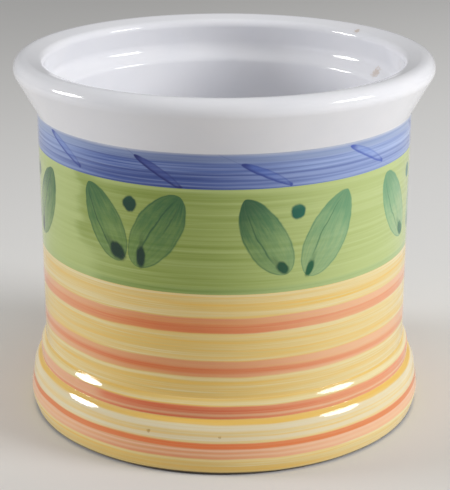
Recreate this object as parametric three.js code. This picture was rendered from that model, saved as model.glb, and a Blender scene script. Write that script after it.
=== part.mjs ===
// Open earthenware crock for the kitchen counter: a straight round pot on a two-step moulded base, with a
// flared collar, a rolled lip and a sloping lid seat inside the mouth. The fired clay body stands on a bare
// foot ring. Over it lies a thin coat of glaze, put on in level bands: white inside and over the lip, then
// blue, green, and yellow with four orange stripes down to the foot.
// Millimetres, +Z up, origin at the middle of the foot ring on the table.

import * as THREE from 'three';

// Pot
const HEIGHT = 156; // table to the top of the lip
const BODY_RADIUS = 79.7; // outside of the straight wall
const WALL = 6.5; // straight wall, glaze included
const FLOOR = 9; // floor, from the recess under it to the glaze inside
const FLOOR_FILLET = 12; // round between the wall and the floor inside

// Collar and lip
const COLLAR_HEIGHT = 23; // from the wall up to the top of the lip
const COLLAR_FLARE = 9.3; // how far the lip stands out past the wall
const LIP_ROLL = 5; // outer edge of the lip
const LIP_DROP = 2.1; // how far the top of the lip slopes down to its inner edge
const LIP_OVERHANG = 2.8; // how far that edge overhangs the hollow under it
const LIP_INNER_ROLL = 3.2; // round of the inner edge

// Lid seat inside the mouth
const SEAT_DEPTH = 19.5; // top of the lip to the lower edge of the seat
const SEAT_WIDTH = 5.2; // how far the back of the seat is outside the pot's inner wall
const SEAT_RISE = 4.1; // height of the sloping seat
const SEAT_COVE = 6.5; // hollow curve from under the lip into the seat
const SEAT_EDGE = 3; // round from the seat into the wall

// Base moulding, two sloping shoulders over a bulging foot
const UPPER_STEP_TOP = 32; // height at which the wall meets the upper step
const UPPER_STEP_OUT = 2.2; // how far the upper step stands out past the wall
const UPPER_STEP_SLOPE = 3.8; // height of its sloping shoulder
const UPPER_STEP_ROUND = 3.5; // edge under the shoulder
const UPPER_STEP_HEIGHT = 8.7; // from its top down to the top of the lower step
const LOWER_STEP_OUT = 2.8; // how far the lower step stands out past the upper one
const LOWER_STEP_SLOPE = 2.9;
const LOWER_STEP_ROUND = 9;
const STEP_FILLET = 1.3; // hollow round at the top of each step
const BULGE_HEIGHT = 6.8; // widest point of the base
const BULGE_OUT = 2.4; // how far it stands out past the lower shoulder
const BULGE_ROUND = 10;
const FOOT_TUCK = 1.7; // how far the glazed edge draws in below the bulge

// Bare foot under the glaze
const GLAZE_LINE = 1; // height at which the glaze stops above the table
const FOOT_INSET = 1.7; // foot ring inside the edge of the glaze
const FOOT_RING_WIDTH = 9;
const FOOT_RECESS = 3; // depth of the hollow inside the ring
const FOOT_DRAFT = 1.5; // slope of the ring's inner side
const UNDERSIDE_MARGIN = 1; // bare edge round the glazed underside

// Coat of glaze
const GLAZE = 0.5;
const GLAZE_BOND = 0.02; // hairline between the coat and the clay

// Heights of the painted bands, from the glaze line up. The green band fills what is left below the blue one.
const BAND_HEIGHTS = {
  yellow_band_5: 6.7,
  orange_stripe_4: 5.8,
  yellow_band_4: 9.1,
  orange_stripe_3: 5.8,
  yellow_band_3: 12.4,
  orange_stripe_2: 7,
  yellow_band_2: 12.1,
  orange_stripe_1: 6.2,
  yellow_band_1: 9.9,
};
const BLUE_BAND_HEIGHT = 14; // directly under the collar

// Fineness of the turned surfaces
const TURN_STEPS = 48;
const ARC_STEP = THREE.MathUtils.degToRad(30);
const ROUNDING = 1e-6; // keeps rounding errors from adding a step to an arc
const SAME_POINT = 0.05; // band edges closer than this to a corner of the profile use the corner

// Finishes
const FINISHES = {
  clay: { color: 0xc9a284, roughness: 0.9 },
  white: { color: 0xe6e4e8, roughness: 0.15 },
  blue: { color: 0x8091c8, roughness: 0.18 },
  green: { color: 0xa9bd6c, roughness: 0.18 },
  yellow: { color: 0xe2c47c, roughness: 0.18 },
  orange: { color: 0xd98a62, roughness: 0.18 },
};

const point = (radius, height) => new THREE.Vector2(radius, height);

// Points along part of an ellipse in the profile plane, from one angle to another, in radians
function arc(centre, radiusOut, radiusUp, from, to) {
  const steps = Math.ceil(Math.abs(to - from) / ARC_STEP - ROUNDING);
  const curve = new THREE.EllipseCurve(centre.x, centre.y, radiusOut, radiusUp, from, to, to < from);
  return curve.getPoints(steps);
}

// Round put on a corner of the profile, from the line before the corner to the line after it
function fillet(before, corner, after, radius) {
  const back = before.clone().sub(corner).normalize();
  const ahead = after.clone().sub(corner).normalize();
  const halfAngle = Math.acos(THREE.MathUtils.clamp(back.dot(ahead), -1, 1)) / 2;
  const bisector = back.clone().add(ahead).normalize();
  const centre = corner.clone().addScaledVector(bisector, radius / Math.sin(halfAngle));
  const reach = radius / Math.tan(halfAngle);
  const start = corner.clone().addScaledVector(back, reach).sub(centre).angle();
  const end = corner.clone().addScaledVector(ahead, reach).sub(centre).angle();
  const sweep = THREE.MathUtils.euclideanModulo(end - start + Math.PI, 2 * Math.PI) - Math.PI;
  return arc(centre, radius, radius, start, start + sweep);
}

// Base moulding, from the glaze line up to the foot of the straight wall
function baseOutline(collarFoot) {
  const upperFace = BODY_RADIUS + UPPER_STEP_OUT;
  const lowerFace = upperFace + LOWER_STEP_OUT;
  const bulge = lowerFace + BULGE_OUT;
  const lowerTop = UPPER_STEP_TOP - UPPER_STEP_HEIGHT;
  const footEdge = point(bulge - FOOT_TUCK, GLAZE_LINE);
  const widest = point(bulge, BULGE_HEIGHT);
  const lowerCorner = point(lowerFace, lowerTop - LOWER_STEP_SLOPE);
  const lowerNotch = point(upperFace, lowerTop);
  const upperCorner = point(upperFace, UPPER_STEP_TOP - UPPER_STEP_SLOPE);
  const upperNotch = point(BODY_RADIUS, UPPER_STEP_TOP);
  return [
    footEdge,
    ...fillet(footEdge, widest, lowerCorner, BULGE_ROUND),
    ...fillet(widest, lowerCorner, lowerNotch, LOWER_STEP_ROUND),
    ...fillet(lowerCorner, lowerNotch, upperCorner, STEP_FILLET),
    ...fillet(lowerNotch, upperCorner, upperNotch, UPPER_STEP_ROUND),
    ...fillet(upperCorner, upperNotch, collarFoot, STEP_FILLET),
  ];
}

// Collar and lip: a cone that runs tangent into the rolled edge, then a top that slopes to the inner edge
function lipOutline(collarFoot, lipEdge) {
  const rollCentre = point(BODY_RADIUS + COLLAR_FLARE - LIP_ROLL, HEIGHT - LIP_ROLL);
  const touch = (end, side) => {
    const reach = end.clone().sub(rollCentre);
    return reach.angle() + side * Math.acos(LIP_ROLL / reach.length());
  };
  const coneAngle = touch(collarFoot, 1) - 2 * Math.PI;
  const slopeAngle = touch(lipEdge, -1);
  const roll = (from, to) => arc(rollCentre, LIP_ROLL, LIP_ROLL, from, to);
  return [
    collarFoot,
    ...roll(coneAngle, 0),
    ...roll(0, Math.PI / 2),
    ...roll(Math.PI / 2, slopeAngle),
  ];
}

// Inside of the pot: the lip's inner edge, the hollow under it, the sloping lid seat, the wall and the floor
function insideOutline(lipTop, lipEdge, seatBack, seatEdge) {
  const floorHeight = FOOT_RECESS + FLOOR;
  const wallFoot = point(seatEdge.x, floorHeight);
  const floorCentre = point(0, floorHeight);
  return [
    ...fillet(lipTop, lipEdge, seatBack, LIP_INNER_ROLL),
    ...fillet(lipEdge, seatBack, seatEdge, SEAT_COVE),
    ...fillet(seatBack, seatEdge, wallFoot, SEAT_EDGE),
    ...fillet(seatEdge, wallFoot, floorCentre, FLOOR_FILLET),
    floorCentre,
  ];
}

// Whole glazed skin in the profile plane, up the outside, over the lip and down to the axis inside
function skinOutline() {
  const collarFoot = point(BODY_RADIUS, HEIGHT - COLLAR_HEIGHT);
  const seatEdge = point(BODY_RADIUS - WALL, HEIGHT - SEAT_DEPTH);
  const seatBack = point(seatEdge.x + SEAT_WIDTH, seatEdge.y + SEAT_RISE);
  const lipEdge = point(seatBack.x - LIP_OVERHANG, HEIGHT - LIP_DROP);
  const lip = lipOutline(collarFoot, lipEdge);
  const inside = insideOutline(lip[lip.length - 1], lipEdge, seatBack, seatEdge);
  const corners = [...baseOutline(collarFoot), ...lip, ...inside];
  return corners.filter((corner, i) => i === 0 || corner.distanceTo(corners[i - 1]) > SAME_POINT);
}

// Index of the point of the skin at a height on the outside, put in if no corner is there
function cutAtHeight(skin, height) {
  const above = skin.findIndex((corner) => corner.y > height - SAME_POINT);
  const upper = skin[above];
  if (Math.abs(upper.y - height) > SAME_POINT) {
    const lower = skin[above - 1];
    const share = (height - lower.y) / (upper.y - lower.y);
    skin.splice(above, 0, lower.clone().lerp(upper, share));
  }
  return above;
}

// Unit vector into the clay, square to the line between two neighbouring points of the outline
function inward(from, to) {
  const along = to.clone().sub(from).normalize();
  return point(-along.y, along.x);
}

// The same outline a set distance deeper in the clay, with mitred corners
function inset(outline, depth) {
  const last = outline.length - 1;
  return outline.map((corner, i) => {
    const leaving = i < last ? inward(corner, outline[i + 1]) : inward(outline[i - 1], corner);
    const arriving = i > 0 ? inward(outline[i - 1], corner) : leaving;
    const mitre = arriving.clone().add(leaving).multiplyScalar(depth / (1 + arriving.dot(leaving)));
    return corner.clone().add(mitre);
  });
}

// Sub-part turned about the pot's axis from a closed outline, or from one that starts and ends on the axis
function turned(name, outline, finish) {
  const geometry = new THREE.LatheGeometry(outline, TURN_STEPS);
  geometry.rotateX(Math.PI / 2);
  const material = new THREE.MeshStandardMaterial({ ...FINISHES[finish], metalness: 0 });
  const mesh = new THREE.Mesh(geometry, material);
  mesh.name = name;
  return mesh;
}

// Fired clay under the glaze, with its bare foot ring and the hollow inside the ring
function clayBody(skin) {
  const surface = inset(skin, GLAZE + GLAZE_BOND);
  const ringOuter = skin[0].x - FOOT_INSET;
  const ringInner = ringOuter - FOOT_RING_WIDTH;
  const underside = [
    point(0, FOOT_RECESS),
    point(ringInner - FOOT_DRAFT, FOOT_RECESS),
    point(ringInner, 0),
    point(ringOuter, 0),
  ];
  return turned('clay_body', [...underside, ...surface], 'clay');
}

// White glazed disc in the hollow of the foot
function undersideGlaze(skin) {
  const radius = skin[0].x - FOOT_INSET - FOOT_RING_WIDTH - FOOT_DRAFT - UNDERSIDE_MARGIN;
  const top = FOOT_RECESS - GLAZE_BOND;
  const bottom = top - GLAZE;
  const disc = [point(0, bottom), point(radius, bottom), point(radius, top), point(0, top)];
  return turned('underside_glaze', disc, 'white');
}

// Coat of one colour over a stretch of the skin
function coat(name, skin, from, to, finish) {
  const face = skin.slice(from, to + 1);
  const back = inset(skin, GLAZE).slice(from, to + 1).reverse();
  const reachesAxis = to === skin.length - 1;
  const outline = reachesAxis ? [...back, ...face] : [...face, ...back, face[0]];
  return turned(name, outline, finish);
}

// Edges of the coloured bands on the outside, as heights from the glaze line up to the collar
function bandEdges() {
  const edges = [];
  let height = GLAZE_LINE;
  for (const [name, rise] of Object.entries(BAND_HEIGHTS)) {
    const finish = name.split('_')[0];
    edges.push({ name, finish, bottom: height });
    height += rise;
  }
  const collarFoot = HEIGHT - COLLAR_HEIGHT;
  edges.push({ name: 'green_band', finish: 'green', bottom: height });
  edges.push({ name: 'blue_band', finish: 'blue', bottom: collarFoot - BLUE_BAND_HEIGHT });
  edges.push({ name: 'white_glaze', finish: 'white', bottom: collarFoot });
  return edges;
}

const skin = skinOutline();
const bands = bandEdges();
const starts = bands.map(({ bottom }) => cutAtHeight(skin, bottom));

const crock = new THREE.Group();
crock.add(clayBody(skin), undersideGlaze(skin));
bands.forEach(({ name, finish }, i) => {
  const end = i + 1 < bands.length ? starts[i + 1] : skin.length - 1;
  crock.add(coat(name, skin, starts[i], end, finish));
});

export default crock;
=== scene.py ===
"""Dresses the painted kitchen crock: finely turned coats, brushed glaze colours and a plain studio."""

import logging
import math
from dataclasses import dataclass
from enum import Enum
from functools import cached_property

import bmesh
import bpy
import numpy as np
from mathutils import Matrix, Vector

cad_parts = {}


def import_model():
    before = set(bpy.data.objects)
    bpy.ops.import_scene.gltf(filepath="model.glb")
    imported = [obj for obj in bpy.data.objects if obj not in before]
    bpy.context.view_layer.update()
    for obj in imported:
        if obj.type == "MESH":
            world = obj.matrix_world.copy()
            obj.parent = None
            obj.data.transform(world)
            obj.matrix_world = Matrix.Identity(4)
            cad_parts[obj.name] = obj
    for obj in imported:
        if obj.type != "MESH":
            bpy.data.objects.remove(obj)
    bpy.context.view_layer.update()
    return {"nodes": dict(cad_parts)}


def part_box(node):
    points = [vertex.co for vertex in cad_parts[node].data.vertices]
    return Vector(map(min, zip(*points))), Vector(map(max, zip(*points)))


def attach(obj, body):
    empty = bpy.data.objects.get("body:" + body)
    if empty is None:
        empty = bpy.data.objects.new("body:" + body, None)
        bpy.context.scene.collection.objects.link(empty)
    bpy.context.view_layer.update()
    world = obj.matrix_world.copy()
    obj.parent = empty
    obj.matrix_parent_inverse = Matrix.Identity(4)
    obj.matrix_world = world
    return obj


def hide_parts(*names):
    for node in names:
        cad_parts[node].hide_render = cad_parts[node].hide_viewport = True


log = logging.getLogger("crock")

Point = tuple[float, float]
Chain = list[Point]
Span = tuple[float, float]
Triple = tuple[float, float, float]
Socket = bpy.types.NodeSocket

# Lengths are in millimetres, apart from MERGE and SEAM_MERGE, which are in metres.
MM = 0.001
TURN_STEPS = 256
ARC_STEP = 6.0
MERGE = 1e-7
SEAM_MERGE = 1e-6
SAME_POINT = 1e-6
EDGE_MARGIN = 0.02
FOOT_MARGIN = 0.1
SHARP_ANGLE = math.radians(40)
GLAZE = 0.5
GLAZE_BOND = 0.02
ORIGIN = (0.0, 0.0, 0.0)


class Pigment(Enum):
    """The glaze and clay colours, as screen colours from 0 to 255.

    What the thin property finds for a paint is the paler colour that paint is given towards the pot's
    sides: painted side light, not a change in the paint.
    """

    WHITE = (246, 246, 250)
    WHITE_COOL = (238, 240, 247)
    BLUE = (72, 101, 176)
    BLUE_THIN = (196, 216, 254)
    BLUE_DEEP = (42, 62, 136)
    BLUE_DEEP_THIN = (122, 142, 202)
    BLUE_PALE = (176, 192, 230)
    BLUE_GREY = (150, 165, 196)
    DASH_WASH = (56, 74, 156)
    DASH_WASH_THIN = (84, 140, 248)
    DASH_INK = (22, 34, 112)
    DASH_INK_THIN = (80, 106, 202)
    GREEN = (158, 175, 88)
    GREEN_THIN = (207, 222, 157)
    GREEN_PALE = (195, 210, 136)
    GREEN_DEEP = (132, 152, 54)
    GREEN_DEEP_THIN = GREEN_PALE
    LEAF_WASH = (80, 130, 66)
    LEAF_WASH_THIN = (148, 190, 150)
    LEAF_DEEP = (36, 102, 58)
    LEAF_DEEP_THIN = (118, 173, 130)
    LEAF_INK = (22, 76, 48)
    LEAF_INK_THIN = (70, 130, 92)
    LEAF_POOL = (0, 52, 32)
    LEAF_POOL_THIN = (35, 114, 72)
    DOT = (0, 64, 44)
    DOT_THIN = (33, 124, 101)
    YELLOW = (233, 200, 114)
    YELLOW_THIN = (240, 218, 156)
    YELLOW_GOLD = (246, 200, 94)
    YELLOW_PALE = (246, 234, 190)
    CREAM = (238, 231, 206)
    PINK_PALE = (250, 200, 166)
    ORANGE = (231, 134, 76)
    ORANGE_THIN = PINK_PALE
    ORANGE_DEEP = (224, 100, 50)
    ORANGE_DEEP_THIN = (243, 158, 112)
    ORANGE_BRIGHT = (238, 118, 48)
    ORANGE_BRIGHT_THIN = ORANGE
    ORANGE_PINK = (232, 168, 130)
    ORANGE_PINK_THIN = PINK_PALE
    CLAY = (206, 168, 132)
    CLAY_DARK = (160, 118, 84)
    SPECK = (172, 126, 40)
    CHIP = (200, 172, 142)
    # Painted shade where the pot meets the floor.
    CONTACT_SHADE = (58, 46, 38)
    # Floor tones, whose differences are painted light.
    FLOOR_NEAR = (220, 218, 216)
    FLOOR_MID = (240, 239, 237)
    FLOOR_FAR = (212, 211, 209)

    @property
    def linear(self) -> tuple[float, float, float, float]:
        """The colour as linear light.

        Returns:
            Its red, green and blue, and full cover.
        """
        parts = []
        for part in self.value:
            share = part / 255
            parts.append(share / 12.92 if share <= 0.04045 else ((share + 0.055) / 1.055) ** 2.4)
        return (parts[0], parts[1], parts[2], 1.0)

    @property
    def thin(self) -> "Pigment | None":
        """The paler colour that this paint is given as painted side light, if it has one."""
        return Pigment.__members__.get(self.name + "_THIN")


class Section:
    """A chain of points (radius, height), in millimetres, drawn along the surface of the pot."""

    def __init__(self, radius: float, height: float) -> None:
        """Starts the chain at a point."""
        self.points: Chain = [(radius, height)]

    def to(self, radius: float, height: float, parts: int = 1) -> "Section":
        """Adds a straight line in equal parts.

        Args:
            radius: Distance of the line's end from the axis.
            height: Height of the line's end.
            parts: Number of equal parts.

        Returns:
            The section, for the next call.
        """
        start = self.points[-1]
        for i in range(1, parts + 1):
            share = i / parts
            self.points.append(
                (start[0] + (radius - start[0]) * share, start[1] + (height - start[1]) * share)
            )
        return self

    def arc(self, centre: Point, radius: float, start: float, end: float) -> "Section":
        """Adds part of a circle.

        Args:
            centre: Middle of the circle.
            radius: Its radius.
            start: First angle in degrees, where 0 points away from the axis and 90 points up.
            end: Last angle in degrees.

        Returns:
            The section, for the next call.
        """
        parts = max(2, math.ceil(abs(end - start) / ARC_STEP))
        for i in range(parts + 1):
            angle = math.radians(start + (end - start) * i / parts)
            point = (centre[0] + radius * math.cos(angle), centre[1] + radius * math.sin(angle))
            if math.dist(point, self.points[-1]) > SAME_POINT:
                self.points.append(point)
        return self

    def rounded(self, corner: Point, after: Point, radius: float) -> "Section":
        """Adds a round corner between the last point and the next one.

        Args:
            corner: Sharp corner that the round replaces.
            after: Point that the chain goes to next.
            radius: Radius of the round.

        Returns:
            The section, for the next call.
        """
        back = (Vector(self.points[-1]) - Vector(corner)).normalized()
        ahead = (Vector(after) - Vector(corner)).normalized()
        half = back.angle(ahead) / 2
        centre = Vector(corner) + (back + ahead).normalized() * radius / math.sin(half)
        first = Vector(corner) + back * radius / math.tan(half) - centre
        last = Vector(corner) + ahead * radius / math.tan(half) - centre
        start = math.degrees(math.atan2(first.y, first.x))
        turn = turn_from(math.degrees(math.atan2(last.y, last.x)), start)
        return self.arc((centre.x, centre.y), radius, start, start + turn)


def turn_from(angle: np.ndarray | float, start: np.ndarray | float) -> np.ndarray | float:
    """Returns the shorter way round from one angle to another, in degrees."""
    return (angle - start + 180) % 360 - 180


def inner_side(chain: Chain, depth: float) -> Chain:
    """Moves a chain into the pot's wall, with its corners mitred.

    Args:
        chain: Surface of the pot.
        depth: How far it moves.

    Returns:
        The moved chain.
    """
    points = np.array(chain)
    ahead = np.diff(points, axis=0)
    ahead /= np.linalg.norm(ahead, axis=1)[:, None]
    inward = np.stack([-ahead[:, 1], ahead[:, 0]], axis=1)
    before = np.vstack([inward[:1], inward])
    after = np.vstack([inward, inward[-1:]])
    mitre = (before + after) / (1 + (before * after).sum(1))[:, None]
    return [(float(r), float(z)) for r, z in points + depth * mitre]


def point_at(chain: Chain, height: float) -> Point:
    """Finds a rising chain's point at a height.

    Args:
        chain: Chain that rises.
        height: Height in millimetres.

    Returns:
        The first point at that height, or the chain's last point.
    """
    for a, b in zip(chain, chain[1:]):
        if a[1] <= height <= b[1] and b[1] > a[1]:
            share = (height - a[1]) / (b[1] - a[1])
            return (a[0] + (b[0] - a[0]) * share, height)
    return chain[-1]


def between(chain: Chain, low: float, high: float) -> Chain:
    """Returns the part of a rising chain between two heights, with a point at each."""
    inside = [p for p in chain if low + EDGE_MARGIN < p[1] < high - EDGE_MARGIN]
    return [point_at(chain, low), *inside, point_at(chain, high)]


@dataclass(frozen=True)
class PotShape:
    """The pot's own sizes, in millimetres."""

    body_radius: float = 79.7
    collar_foot: float = 133.0
    collar_round: float = 4.0
    lip_roll: float = 5.0
    lip_centre: Point = (84.0, 151.0)
    lip_edge: Point = (75.6, 153.9)
    lip_round: float = 3.2
    seat_back: Point = (78.4, 140.6)
    seat_edge: Point = (73.2, 136.5)
    seat_cove: float = 6.5
    seat_round: float = 3.0
    bore: float = 73.2
    floor: float = 12.0
    floor_round: float = 12.0
    glaze_line: float = 1.0
    foot_edge: float = 85.4
    bulge: Point = (87.1, 6.8)
    bulge_round: float = 10.0
    lower_corner: Point = (84.98, 18.8)
    lower_round: float = 5.0
    lower_swell: Point = (83.97, 20.7)
    lower_bend: Point = (83.2, 21.9)
    bend_round: float = 2.5
    lower_notch: Point = (81.9, 23.1)
    upper_corner: Point = (81.9, 27.8)
    upper_round: float = 2.5
    upper_swell: Point = (81.03, 29.75)
    swell_round: float = 13.0
    upper_notch: Point = (79.7, 31.5)
    notch_round: float = 0.3
    foot_outer: float = 83.7
    foot_inner: float = 74.7
    recess_radius: float = 73.2
    recess: float = 3.0
    underside_radius: float = 72.2
    wall_rows: int = 12
    recess_rows: int = 8

    def roll_angle(self, point: Point, side: float) -> float:
        """Returns where a line from a point touches the outer roll of the lip, in degrees."""
        way = Vector(point) - Vector(self.lip_centre)
        return math.degrees(math.atan2(way.y, way.x) + side * math.acos(self.lip_roll / way.length))

    def outside(self) -> Chain:
        """Draws the outer surface.

        Returns:
            The chain from the glaze line at the foot over the lip's outer roll.
        """
        collar = (self.body_radius, self.collar_foot)
        corners = (
            (self.bulge, self.bulge_round),
            (self.lower_corner, self.lower_round),
            (self.lower_swell, self.swell_round),
            (self.lower_bend, self.bend_round),
            (self.lower_notch, self.notch_round),
            (self.upper_corner, self.upper_round),
            (self.upper_swell, self.swell_round),
            (self.upper_notch, self.notch_round),
            (collar, self.collar_round),
        )
        chain = Section(self.foot_edge, self.glaze_line)
        for (corner, radius), (after, _) in zip(corners, corners[1:]):
            chain.rounded(corner, after, radius)
        chain.to(self.body_radius, self.collar_foot - self.collar_round, parts=self.wall_rows)
        start = self.roll_angle(collar, 1.0)
        end = self.roll_angle(self.lip_edge, -1.0)
        touch = math.radians(start)
        cone = (
            self.lip_centre[0] + self.lip_roll * math.cos(touch),
            self.lip_centre[1] + self.lip_roll * math.sin(touch),
        )
        chain.rounded(collar, cone, self.collar_round)
        return chain.arc(self.lip_centre, self.lip_roll, start, end).points

    def inside(self) -> Chain:
        """Draws the inner surface.

        Returns:
            The chain from the lip's inner edge to the middle of the floor.
        """
        chain = Section(*self.outside()[-1])
        chain.rounded(self.lip_edge, self.seat_back, self.lip_round)
        chain.rounded(self.seat_back, self.seat_edge, self.seat_cove)
        chain.rounded(self.seat_edge, (self.bore, 0), self.seat_round)
        turn = self.floor + self.floor_round
        chain.to(self.bore, turn, parts=self.wall_rows)
        chain.arc((self.bore - self.floor_round, turn), self.floor_round, 0, -90)
        return chain.to(0, self.floor, parts=self.wall_rows).points[1:]

    def coat(self, low: float, high: float) -> Chain:
        """Draws one painted coat.

        Args:
            low: Height of its lower edge.
            high: Height of its upper edge.

        Returns:
            Its closed section.
        """
        face = between(self.outside(), low, high)
        back = inner_side(face, GLAZE)
        back[0] = (face[0][0] - GLAZE, face[0][1])
        back[-1] = (face[-1][0] - GLAZE, face[-1][1])
        return face + back[::-1] + face[:1]

    def white_coat(self) -> Chain:
        """Draws the white coat.

        Returns:
            Its section, from the floor's middle over the lip and back to the floor's middle.
        """
        outer = self.outside()
        rise = [p for p in outer if p[1] > self.collar_foot + EDGE_MARGIN and p[0] > self.body_radius]
        face = [point_at(outer, self.collar_foot), *rise, *self.inside()]
        back = inner_side(face, GLAZE)
        back[0] = (face[0][0] - GLAZE, face[0][1])
        return back[::-1] + face

    def clay(self) -> Chain:
        """Draws the fired body under its coats.

        Returns:
            Its section, from axis to axis.
        """
        skin = inner_side(self.outside() + self.inside(), GLAZE + GLAZE_BOND)
        under = [
            (0.0, self.recess),
            (self.recess_radius, self.recess),
            (self.foot_inner, 0.0),
            (self.foot_outer, 0.0),
            (self.foot_edge, self.glaze_line - GLAZE_BOND),
            (self.foot_edge - GLAZE - GLAZE_BOND, self.glaze_line - GLAZE_BOND),
        ]
        return under + [p for p in skin if p[1] > self.glaze_line + FOOT_MARGIN or p[0] < self.bore]

    def underside(self) -> Chain:
        """Draws the thin coat in the hollow of the foot.

        Returns:
            Its section, from axis to axis.
        """
        top = self.recess - GLAZE_BOND
        flat = self.underside_radius - GLAZE
        chain = Section(0.0, top - GLAZE).to(flat, top - GLAZE, parts=self.recess_rows)
        chain.arc((flat, top), GLAZE, -90, 0)
        return chain.to(0.0, top, parts=self.recess_rows).points


def turned(name: str, chain: Chain) -> bpy.types.Object:
    """Draws a section by extruding one corner of a plane, and spins it round the pot's axis.

    Args:
        name: Name of the new piece.
        chain: Section in millimetres, closed on itself or running from axis to axis.

    Returns:
        The new closed mesh object.
    """
    bpy.ops.object.select_all(action="DESELECT")
    bpy.ops.mesh.primitive_plane_add(size=2 * MM)
    piece = bpy.context.object
    piece.name = name
    piece.data.name = name
    bpy.ops.object.mode_set(mode="EDIT")
    bpy.ops.mesh.select_mode(type="VERT")
    bpy.ops.mesh.select_all(action="DESELECT")
    corners = bmesh.from_edit_mesh(piece.data).verts
    corners.ensure_lookup_table()
    first = corners[0].co.copy()
    for corner in corners[1:]:
        corner.select_set(True)
    bmesh.update_edit_mesh(piece.data)
    bpy.ops.mesh.delete(type="VERT")
    bpy.ops.mesh.select_all(action="SELECT")
    places = [Vector((r * MM, 0.0, z * MM)) for r, z in chain]
    bpy.ops.transform.translate(value=places[0] - first)
    for here, there in zip(places, places[1:]):
        bpy.ops.mesh.extrude_region_move(TRANSFORM_OT_translate={"value": there - here})
    bpy.ops.mesh.select_all(action="SELECT")
    bpy.ops.mesh.remove_doubles(threshold=MERGE)
    bpy.ops.mesh.spin(steps=TURN_STEPS, angle=math.tau, center=(0, 0, 0), axis=(0, 0, 1))
    bpy.ops.mesh.select_all(action="SELECT")
    bpy.ops.mesh.remove_doubles(threshold=SEAM_MERGE)
    bpy.ops.mesh.normals_make_consistent(inside=False)
    bpy.ops.object.mode_set(mode="OBJECT")
    bpy.ops.object.shade_smooth_by_angle(angle=SHARP_ANGLE)
    return piece


class Wire:
    """What a node gives. Where that is a number, it joins in sums as a plain number does."""

    def __init__(self, sheet: "Sheet", socket: Socket) -> None:
        """Keeps the socket and its sheet."""
        self.sheet = sheet
        self.socket = socket

    def __add__(self, other: "Wire | float") -> "Wire":
        """Adds a number."""
        return self.sheet.math("ADD", self, other)

    def __sub__(self, other: "Wire | float") -> "Wire":
        """Takes a number away."""
        return self.sheet.math("SUBTRACT", self, other)

    def __rsub__(self, other: float) -> "Wire":
        """Is taken away from a number."""
        return self.sheet.math("SUBTRACT", other, self)

    def __mul__(self, other: "Wire | float") -> "Wire":
        """Multiplies by a number."""
        return self.sheet.math("MULTIPLY", self, other)

    def __truediv__(self, other: "Wire | float") -> "Wire":
        """Divides by a number."""
        return self.sheet.math("DIVIDE", self, other)

    def __rtruediv__(self, other: float) -> "Wire":
        """Divides a number."""
        return self.sheet.math("DIVIDE", other, self)

    def __pow__(self, other: "Wire | float") -> "Wire":
        """Is raised to a power."""
        return self.sheet.math("POWER", self, other)

    def __abs__(self) -> "Wire":
        """Loses its sign."""
        return self.sheet.math("ABSOLUTE", self)


Number = Wire | float
Feed = Wire | float | tuple[float, ...]


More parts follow.
